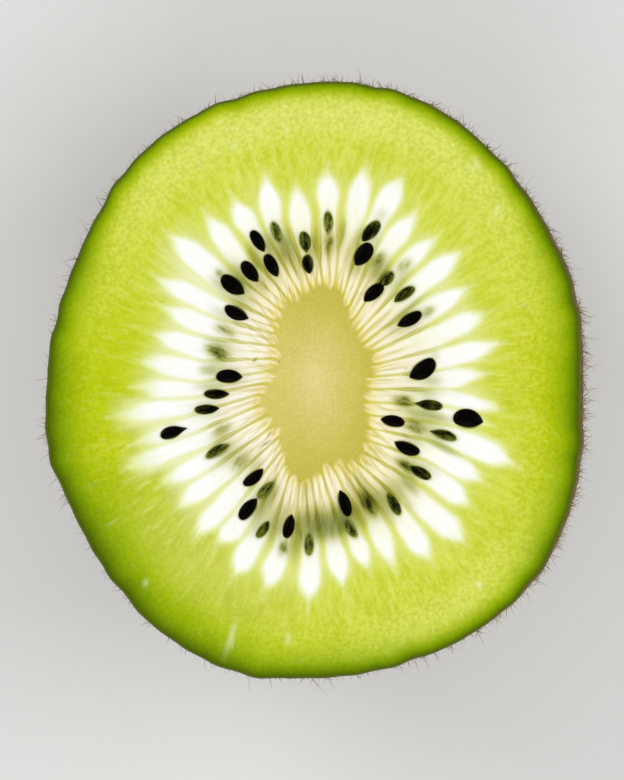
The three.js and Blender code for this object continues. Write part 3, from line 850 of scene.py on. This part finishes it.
def core_finish():
    """Khaki at the edge and ends, lighter towards the middle, with a fine bright grain and a few
    reddish dots where the vessels cross just inside the edge."""
    f = Finish("kiwi_core")
    place = f.place()
    grain = f.noise(place, 4.5, 3.0, 0.65)
    clouds = f.noise(place, 0.55, 3.0)
    inwards = f.mark("from_edge")
    out = f.math("ADD", f.from_axis(0.3, 0.19), f.scaled(clouds, 0.5, -0.25))
    colour = f.ramp(out, [
        (0.1, 225, 210, 132), (0.45, 217, 203, 118), (0.85, 209, 196, 98),
        (1.25, 200, 189, 78), (1.7, 191, 182, 66),
    ])
    colour = f.mix(f.step(f.coordinate("X"), -1.0, -4.5, 0.0, 0.4), colour, (228, 214, 126))
    colour = f.mix(f.step(inwards, 0.9, 0.0, 0.0, 0.5), colour, (198, 187, 62))
    bright = f.times(f.step(grain, 0.48, 0.74, 0.0, 0.42), f.step(out, 1.4, 0.4, 0.45, 1.0))
    colour = f.mix(bright, colour, (236, 223, 152))
    colour = f.mix(f.step(grain, 0.52, 0.3, 0.0, 0.25), colour, (186, 174, 76))
    cells = f.node("TexVoronoi", {"Vector": place, "Scale": 0.9}, output="Distance")
    dots = f.times(f.step(cells, 0.14, 0.06), f.between(inwards, 0.1, 0.25, 0.5, 0.8), 0.7)
    colour = f.mix(dots, colour, (150, 104, 42))
    # The fingers' ends reach a little way in, here more and there less.
    from_core = f.times(inwards, -1.0)
    fingers = f.times(finger_ends(f, from_core), f.step(f.mark("chamber"), -0.1, 0.15))
    colour = f.mix(fingers, colour, striped(f, (244, 229, 170), from_core))
    normal = f.bump(grain, 0.00006, 0.5)
    return f.surface(Base_Color=colour, Roughness=0.5, Normal=normal, Specular_IOR_Level=0.25)


core.data.materials.append(core_finish())
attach(core, "root")
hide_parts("core")


# ---- The seeds ---------------------------------------------------------------------------------
# Small flattened drops with a hard, glossy black coat, thinner towards the core, each half sunk in
# its chamber. Those still under a film of flesh show dark green with paler streaks.

SEED_RINGS = 24
SEED_SIDES = 18
# The thickness and the coat are in millimetres, the taper and the bow shares of the width. The last
# four are powers, by which the ends and the sides round off.
SEED_THICKNESS = 0.95
SEED_TAPER = 0.16
SEED_COAT = 0.03
SEED_BOW = 0.1
SEED_BLUNTNESS = 0.47
SEED_POINTING = 0.5
SEED_PLUMPNESS = 0.65
THREAD_TAPER = 10


def seed_shapes(rows):
    """All seeds at once, as rings of points from the outer end to the inner. The girth goes as
    (1 - x^2)^p along the seed, with p rising towards the inner end to point it, and the thickness as
    the girth to the power 0.65. A thread draws the last of the inner end out, and each seed is bowed
    a little to one side, by a share of its width. Shape: seeds, rings, sides, xyz."""
    bow = np.random.default_rng(3).uniform(-SEED_BOW, SEED_BOW, len(rows))[:, None, None]
    direction, distance, length, width, turn, thread, sink = (
        column[:, None, None] for column in rows.T[:7]
    )
    length, width = length + SEED_COAT, width + SEED_COAT
    x = np.cos(np.linspace(0, math.pi, SEED_RINGS + 2)[1:-1])[None, :, None]
    inner = (1 - x) / 2
    power = SEED_BLUNTNESS + SEED_POINTING * inner ** 2
    girth = (1 - x ** 2) ** power * (1 + SEED_TAPER * x)
    round_it = np.linspace(0, 2 * math.pi, SEED_SIDES, endpoint=False)
    ahead = x * length / 2 - thread * inner ** THREAD_TAPER
    aside = girth * width / 2 * np.cos(round_it) + bow * width * (1 - 1.5 * x ** 2)
    rise = girth ** SEED_PLUMPNESS * np.minimum(width, SEED_THICKNESS) / 2 * np.sin(round_it)
    lean = np.radians(direction + turn)
    middle = np.radians(direction)
    return np.stack([
        distance * np.cos(middle) + ahead * np.cos(lean) - aside * np.sin(lean),
        distance * np.sin(middle) + ahead * np.sin(lean) + aside * np.cos(lean),
        cut_height - sink + rise,
    ], axis=-1)


def many_piece(name, rings, tips_first, tips_last, marks):
    """One mesh of many like closed shapes: `rings` has the shape (shapes, rings, sides, xyz), and
    each is closed at both ends by a fan round its own tip. `marks` give each shape a value, or each
    of its rings one."""
    count, along_it, sides = rings.shape[:3]
    points = np.concatenate([rings.reshape(-1, 3), tips_first, tips_last])
    here = np.arange(count * along_it * sides).reshape(count, along_it, sides)
    beside = np.roll(here, -1, axis=2)
    quads = np.stack([here[:, :-1], beside[:, :-1], beside[:, 1:], here[:, 1:]], axis=-1)
    first = np.broadcast_to(here.size + np.arange(count)[:, None], (count, sides))
    fan_in = np.stack([first, beside[:, 0], here[:, 0]], axis=-1).reshape(-1, 3)
    fan_out = np.stack([first + count, here[:, -1], beside[:, -1]], axis=-1).reshape(-1, 3)
    faces = quads.reshape(-1, 4).tolist() + fan_in.tolist() + fan_out.tolist()
    spread = {}
    for mark, values in marks.items():
        values = np.broadcast_to(values.reshape(count, -1), (count, along_it))
        spread[mark] = np.concatenate([np.repeat(values, sides), values[:, 0], values[:, -1]])
    return new_piece(name, points, faces, spread)


seed_rings = seed_shapes(SEEDS)
outer_share = np.broadcast_to(np.linspace(1, 0, SEED_RINGS), (len(SEEDS), SEED_RINGS))
seeds = many_piece(
    "kiwi_seeds",
    seed_rings,
    seed_rings[:, 0].mean(axis=1),
    seed_rings[:, -1].mean(axis=1),
    {"film": SEEDS[:, 7], "outer": outer_share},
)


def seed_finish():
    """Black, finely pitted, with a brown edge where the coat meets the flesh. Under a film of flesh
    it is a dark olive, streaked along its length and paler most of all at its outer end and where
    it lies lowest, with small pale flecks that are painted highlights."""
    f = Finish("kiwi_seed")
    place = f.place()
    pits = f.noise(place, 5.0, 3.0)
    streaks = f.radial_noise(40, 1.1, 4.0, 0.7)
    flecks = f.noise(place, 9.0, 3.0, 0.7)
    height = f.math("SUBTRACT", f.coordinate("Z"), cut_height)
    outer = f.mark("outer")
    film = f.mark("film")
    black = f.mix(f.step(pits, 0.55, 0.8, 0.0, 0.5), (2, 1, 0), (18, 14, 7))
    black = f.mix(f.step(height, 0.16, 0.0, 0.0, 0.75), black, (62, 54, 0))
    olive = f.mix(f.step(film, 0.3, 1.0), (12, 17, 0), (36, 46, 0))
    paler = f.mix(f.step(film, 0.3, 1.0), (94, 102, 12), (142, 152, 52))
    low = f.step(height, 0.24, 0.02, 0.0, 0.1)
    patches = f.math("ADD", f.scaled(outer, 0.16, -0.08), f.math("ADD", streaks, low))
    green = f.mix(f.step(patches, 0.42, 0.68), olive, paler)
    # Small pale flecks on a filmed seed: painted highlights.
    bright = f.times(f.step(flecks, 0.57, 0.68), f.step(film, 0.1, 0.9, 0.15, 0.8))
    green = f.mix(bright, green, (190, 198, 118))
    cover = f.scaled(film, 1.4, f.scaled(height, -1.6, 0.1))
    cover = f.math("ADD", cover, f.scaled(outer, 0.4, -0.2))
    cover = f.math("ADD", cover, f.math("SUBTRACT", streaks, 0.5))
    cover = f.times(f.step(cover, -0.1, 0.9), f.step(film, 0.0, 0.2))
    edge = f.times(f.step(height, 0.13, -0.02), f.step(film, 0.3, 0.8, 0.0, 0.6))
    green = f.mix(edge, green, (176, 182, 108))
    colour = f.mix(cover, black, green)
    normal = f.bump(pits, 0.00006, 0.6)
    return f.surface(Base_Color=colour, Roughness=0.32, Normal=normal, Specular_IOR_Level=0.03)


seeds.data.materials.append(seed_finish())
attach(seeds, "root")


# ---- The skin ----------------------------------------------------------------------------------
# A thin, dry, leathery brown skin over the whole outside, with a thin edge at the cut. Under the
# half it closes over the stem scar: a level woody button with a groove round it.

SKIN_COLUMNS = 400
SKIN_OUTSIDE_ROWS = 96
SKIN_INSIDE_ROWS = 24
SKIN_THICKNESS = 0.34
SKIN_THICKENING_DEPTH = 2.0
SKIN_AT_STEM_END = 0.7
LEVEL_SPOT_RADIUS = 4.4
STEM_BUTTON_RADIUS = 2.4
STEM_BUTTON_MIDDLE = 1.2
STEM_GROOVE_WIDTH = 1.1
STEM_GROOVE_DEPTH = 0.5
LUMP_HEIGHT = 0.1
LUMP_WAVES = 14
LUMP_LENGTHS = (3.5, 13)
LUMPS_FROM_CUT = 3.0
LUMPS_FROM_FLOOR = 4.0
# The cut edge is a little ragged: how high its teeth stand, how many go round, and how many times
# they crowd together and spread out again. Then how far the edge rounds over.
TOOTH_HEIGHT = 0.05
TEETH = 97
TOOTH_CROWDINGS = 31
SKIN_EDGE_ROUNDING = 0.06


def lumps(x, y, z):
    """Low waves over the skin, mostly within 1 either way: crossed sines of unlike directions and
    lengths, added up and divided by twice the root of their number."""
    draw = np.random.default_rng(7)
    total = 0
    for _ in range(LUMP_WAVES):
        way = draw.normal(size=3)
        way = way / np.linalg.norm(way) * 2 * math.pi / draw.uniform(*LUMP_LENGTHS)
        total = total + np.sin(way[0] * x + way[1] * y + way[2] * z + draw.uniform(0, 2 * math.pi))
    return total / LUMP_WAVES ** 0.5 / 2


def skin_outside(angle, depth, narrowing):
    """The skin's outer surface as points: the body's radius with low lumps, which fade out at the
    cut and towards the level spot underneath."""
    radius = body_radius(angle, depth, narrowing)
    z = cut_height - depth
    fade = ease(0, LUMPS_FROM_CUT, depth) * ease(0, LUMPS_FROM_FLOOR, z)
    radius = radius + LUMP_HEIGHT * lumps(radius * np.cos(angle), radius * np.sin(angle), z) * fade
    return turned(radius, angle, z)


skin_angles = np.linspace(0, 2 * math.pi, SKIN_COLUMNS, endpoint=False)
outside = skin_outside(skin_angles, *rounded_side(
    half_length, STEM_END_TRIM, SIDE_FULLNESS, SKIN_OUTSIDE_ROWS
))
in_depth, in_narrowing = rounded_side(
    half_length, STEM_END_TRIM + SKIN_AT_STEM_END, SIDE_FULLNESS, SKIN_INSIDE_ROWS
)
thickness = SKIN_AT_CUT + (SKIN_THICKNESS - SKIN_AT_CUT) * ease(0, SKIN_THICKENING_DEPTH, in_depth)
inside_radius = body_radius(skin_angles, in_depth, in_narrowing) - thickness
inside = turned(inside_radius, skin_angles, cut_height - in_depth)[::-1]
inside[-1, :, 2] -= RIM_ROUNDING
teeth = np.sin(TEETH * skin_angles + 2 * np.sin(TOOTH_CROWDINGS * skin_angles))
outside[0, :, 2] += TOOTH_HEIGHT * teeth - SKIN_EDGE_ROUNDING - RIM_ROUNDING
edge = (outside[:1] + inside[-1:]) / 2
edge[..., 2] += SKIN_EDGE_ROUNDING
# The groove and the button under the stem end: radius and height of each ring, from outside in.
groove_middle = STEM_BUTTON_RADIUS + STEM_GROOVE_WIDTH / 2
stem_end = np.array([
    (LEVEL_SPOT_RADIUS, 0.0), (STEM_BUTTON_RADIUS + STEM_GROOVE_WIDTH, 0.0),
    (groove_middle, STEM_GROOVE_DEPTH), (STEM_BUTTON_RADIUS, 0.0), (STEM_BUTTON_MIDDLE, 0.0),
])
underneath = turned(stem_end[:, :1], skin_angles, stem_end[:, 1:])
skin_rings = np.concatenate([inside, edge, outside, underneath])
skin = ringed_piece(
    "kiwi_skin",
    (0, 0, inside[0, 0, 2]),
    skin_rings,
    (0, 0, 0),
    {"from_cut": cut_height - skin_rings[..., 2]},
)


def skin_finish():
    """Matt brown, lighter and darker in soft patches, with dark pores and fine wrinkles. It darkens
    towards the cut and turns green where it is thin, and the stem button is dark and woody."""
    f = Finish("kiwi_skin")
    place = f.place()
    patches = f.noise(place, 0.16, 3.0)
    blotches = f.noise(place, 1.1, 4.0, 0.65)
    fine = f.noise(place, 5.5, 4.0, 0.7)
    colour = f.ramp(patches, [
        (0.3, 114, 90, 50), (0.5, 130, 104, 60), (0.7, 144, 118, 70),
    ])
    colour = f.mix(f.step(blotches, 0.45, 0.7, 0.0, 0.4), colour, (90, 68, 36))
    colour = f.mix(f.step(fine, 0.5, 0.75, 0.0, 0.5), colour, (160, 134, 84))
    pores = f.node("TexVoronoi", {"Vector": place, "Scale": 0.95}, output="Distance")
    colour = f.mix(f.step(pores, 0.2, 0.08, 0.0, 0.4), colour, (72, 52, 28))
    from_cut = f.mark("from_cut")
    colour = f.mix(f.step(from_cut, 6.0, 1.0, 0.0, 0.55), colour, (82, 60, 26))
    colour = f.mix(f.step(from_cut, 0.7, 0.15, 0.0, 0.95), colour, (84, 98, 4))
    colour = f.mix(f.step(f.from_axis(), 3.8, 2.8, 0.0, 0.8), colour, (58, 42, 26))
    height = f.scaled(blotches, 0.7, f.times(fine, 0.3))
    normal = f.bump(height, 0.00035, 0.6)
    return f.surface(Base_Color=colour, Roughness=0.78, Normal=normal, Specular_IOR_Level=0.25)


skin.data.materials.append(skin_finish())
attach(skin, "root")
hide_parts("flesh")


# ---- The hairs ---------------------------------------------------------------------------------
# Stiff brown hairs that grow from the skin: a dense short down, and longer bristles among it. Each
# is a thin cone that leans a little off the skin and bends.

HAIRS_FROM_CUT = 0.12
HAIRS_FROM_FLOOR = 0.5
TIPS_FROM_FLOOR = 0.05
# Of every eight roots that are tried, one grows a hair at most. The very pole is left out.
TRIES_PER_HAIR = 8
FIRST_TURN = 0.002
# Every 45 degrees: the share of the hairs that is left at the cut, and the depth from which and to
# which it rises to all of them.
HAIRS_LEFT_AT_CUT = [0.5, 0.42, 0.42, 0.22, 0.1, 0.1, 0.16, 0.38]
COVER_DEPTHS = (2.0, 9.0)
# How much a hair leans aside, how much it hangs, bends any way and bends back to the skin, how deep
# it is rooted, and the power by which it thins towards its tip.
HAIR_SCATTER = 0.5
HAIR_DROOP = 1.6
HAIR_BEND = 0.3
HAIR_BEND_BACK = 0.12
HAIR_ROOT_DEPTH = 0.08
HAIR_TAPER = 0.7
HAIR_SIDES = 3
# Each hair's thickness as a share of its kind's. Where few hairs are left they are shorter, by a
# power of the cover, and stand up less: by the least stand and what full cover adds to it.
HAIR_THICKNESSES = (0.7, 1.2)
WORN_LENGTH_POWER = 0.4
LEAST_STAND = 0.3
STAND_GAIN = 0.65


def hair_cover(angle, depth):
    """How thickly the hairs stand: near the cut many have been wiped off, most on the -X side."""
    kept = around(HAIRS_LEFT_AT_CUT, angle)
    return kept + (1 - kept) * ease(*COVER_DEPTHS, depth)


def rooted(draw, count):
    """Roots spread evenly over the skin by area and thinned out by the cover, and the skin's outward
    direction at each: the cross product of small steps down and along the surface."""
    tries = count * TRIES_PER_HAIR
    angle = draw.uniform(0, 2 * math.pi, tries)
    last_turn = math.asin((cut_height / half_length) ** (SIDE_FULLNESS / 2))
    turn = draw.uniform(FIRST_TURN, last_turn, tries)

    def point(angle, turn):
        """The skin at an angle round the axis and a turn down the superellipse."""
        power = 2 / SIDE_FULLNESS
        return skin_outside(angle, half_length * np.sin(turn) ** power, np.cos(turn) ** power)

    small = 1e-4
    here = point(angle, turn)
    sideways = (point(angle + small, turn) - here) / small
    downwards = (point(angle, turn + small) - here) / small
    out = np.cross(downwards, sideways)
    area = np.linalg.norm(out, axis=1)
    depth = cut_height - here[:, 2]
    # A root's chance goes by the area of skin that it stands for; the largest few count alike.
    chance = area / np.percentile(area, 98) * hair_cover(angle, depth)
    clear = (depth > HAIRS_FROM_CUT) & (here[:, 2] > HAIRS_FROM_FLOOR)
    keep = (draw.uniform(0, 1, tries) < chance) & clear
    picked = np.flatnonzero(keep)[:count]
    return here[picked], out[picked] / area[picked, None]


def hair_rings(draw, roots, outwards, stand, lengths, thickness, rings):
    """Cones with `rings` rings and a tip: the middle line is root + length * (t * lean + t^2 *
    bend), and the radius falls as (1 - t)^0.7. A hair leans out by its `stand` and down by what
    that leaves of HAIR_DROOP. Gives the rings and both ends."""
    loose = draw.normal(size=roots.shape)
    loose -= (loose * outwards).sum(1, keepdims=True) * outwards
    stand = stand[:, None]
    lean = stand * outwards + HAIR_SCATTER * loose - (HAIR_DROOP - stand) * np.array([0, 0, 1])
    lean /= np.linalg.norm(lean, axis=1, keepdims=True)
    bend = HAIR_BEND * draw.normal(size=roots.shape) - HAIR_BEND_BACK * outwards
    # Any fixed direction will do to start the hair's own two sideways ones.
    across = np.cross(lean, [0.31, 0.17, 0.93])
    across /= np.linalg.norm(across, axis=1, keepdims=True)
    other = np.cross(lean, across)
    t = np.linspace(0, 1, rings + 1)[None, :, None]
    line = roots[:, None] + lengths[:, None, None] * (t * lean[:, None] + t ** 2 * bend[:, None])
    line -= HAIR_ROOT_DEPTH * outwards[:, None] * (1 - t)
    radius = thickness[:, None, None] / 2 * (1 - t) ** HAIR_TAPER
    round_it = np.linspace(0, 2 * math.pi, HAIR_SIDES, endpoint=False)[:, None]
    spoke = np.cos(round_it) * across[:, None] + np.sin(round_it) * other[:, None]
    body = line[:, :-1, None] + radius[:, :-1, :, None] * spoke[:, None]
    return body, line[:, 0], line[:, -1]


def hair_finish(name, light, dark):
    """Straw to brown, dry and dull, each hair with its own shade."""
    f = Finish(name)
    colour = f.mix(f.mark("pick"), light, dark)
    return f.surface(Base_Color=colour, Roughness=0.55, Specular_IOR_Level=0.3)


def add_hairs(name, seed, count, shortest, longest, thickness, rings, light, dark):
    """One joined mesh of hairs that grow from the skin, shorter and flatter where few are left. Any
    that would touch the floor is left out."""
    draw = np.random.default_rng(seed)
    roots, outwards = rooted(draw, count)
    lengths = draw.uniform(shortest, longest, len(roots))
    cover = hair_cover(np.arctan2(roots[:, 1], roots[:, 0]), cut_height - roots[:, 2])
    lengths *= cover ** WORN_LENGTH_POWER
    stand = LEAST_STAND + STAND_GAIN * cover
    widths = thickness * draw.uniform(*HAIR_THICKNESSES, len(roots))
    body, first, last = hair_rings(draw, roots, outwards, stand, lengths, widths, rings)
    low = np.minimum(body[..., 2].min(axis=(1, 2)), last[:, 2])
    clear = low > TIPS_FROM_FLOOR
    picks = draw.uniform(0, 1, len(roots))
    piece = many_piece(name, body[clear], first[clear], last[clear], {"pick": picks[clear]})
    piece.data.materials.append(hair_finish(name, light, dark))
    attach(piece, "root")


add_hairs("kiwi_down", 11, 16000, 0.4, 0.9, 0.05, 2, (198, 168, 112), (132, 104, 62))
add_hairs("kiwi_hairs", 12, 9500, 0.8, 1.6, 0.07, 3, (190, 158, 102), (108, 82, 46))
add_hairs("kiwi_bristles", 13, 2200, 1.4, 2.1, 0.085, 3, (150, 118, 68), (84, 60, 32))


# ---- Floor, light and camera ---------------------------------------------------------------------
# A plain pale floor, soft light from large panels at the sides, and a camera straight above the cut.

FLOOR_HALF = 5000.0

corners = FLOOR_HALF * np.array([(-1, -1, 0), (1, -1, 0), (1, 1, 0), (-1, 1, 0)])
floor = new_piece("floor", corners, [(0, 1, 2, 3)], {})
floor_paint = Finish("floor_paint")
floor.data.materials.append(floor_paint.surface(Base_Color=tone(230, 230, 228), Roughness=0.9))

# The panels' width in metres, and the strength of the light from all round.
PANEL_SIZE = 0.36
ROOM_LIGHT = 0.545


def panel(name, place, power):
    """A square soft light at a place in metres, turned to face the middle of the cut."""
    lamp = bpy.data.lights.new(name, "AREA")
    lamp.size = PANEL_SIZE
    lamp.energy = power
    light = bpy.data.objects.new(name, lamp)
    light.location = place
    light.rotation_mode = "QUATERNION"
    aim = Vector((0, 0, cut_height * MM)) - Vector(place)
    light.rotation_quaternion = aim.to_track_quat("-Z", "Y")
    bpy.context.scene.collection.objects.link(light)


panel("panel_left", (-0.42, 0.30, 0.42), 1.28)
panel("panel_right", (0.45, 0.05, 0.40), 1.04)
panel("panel_front", (-0.05, -0.50, 0.40), 1.04)

world = bpy.data.worlds.new("studio")
world.use_nodes = True
room = world.node_tree.nodes["Background"]
room.inputs["Color"].default_value = (1, 1, 1, 1)
room.inputs["Strength"].default_value = ROOM_LIGHT
bpy.context.scene.world = world
bpy.context.scene.view_settings.view_transform = "Standard"

# The view takes in 69 mm of the cut's plane from top to bottom, from far enough to look flat.
VIEW_HEIGHT = 69.0
VIEW_DISTANCE = 600.0
VIEW_MIDDLE = (-0.27, -0.8)
SENSOR = 36.0
camera_data = bpy.data.cameras.new("camera")
camera_data.sensor_width = SENSOR
camera_data.lens = SENSOR * VIEW_DISTANCE / VIEW_HEIGHT
camera = bpy.data.objects.new("camera", camera_data)
camera.location = (VIEW_MIDDLE[0] * MM, VIEW_MIDDLE[1] * MM, (cut_height + VIEW_DISTANCE) * MM)
bpy.context.scene.collection.objects.link(camera)
bpy.context.scene.camera = camera
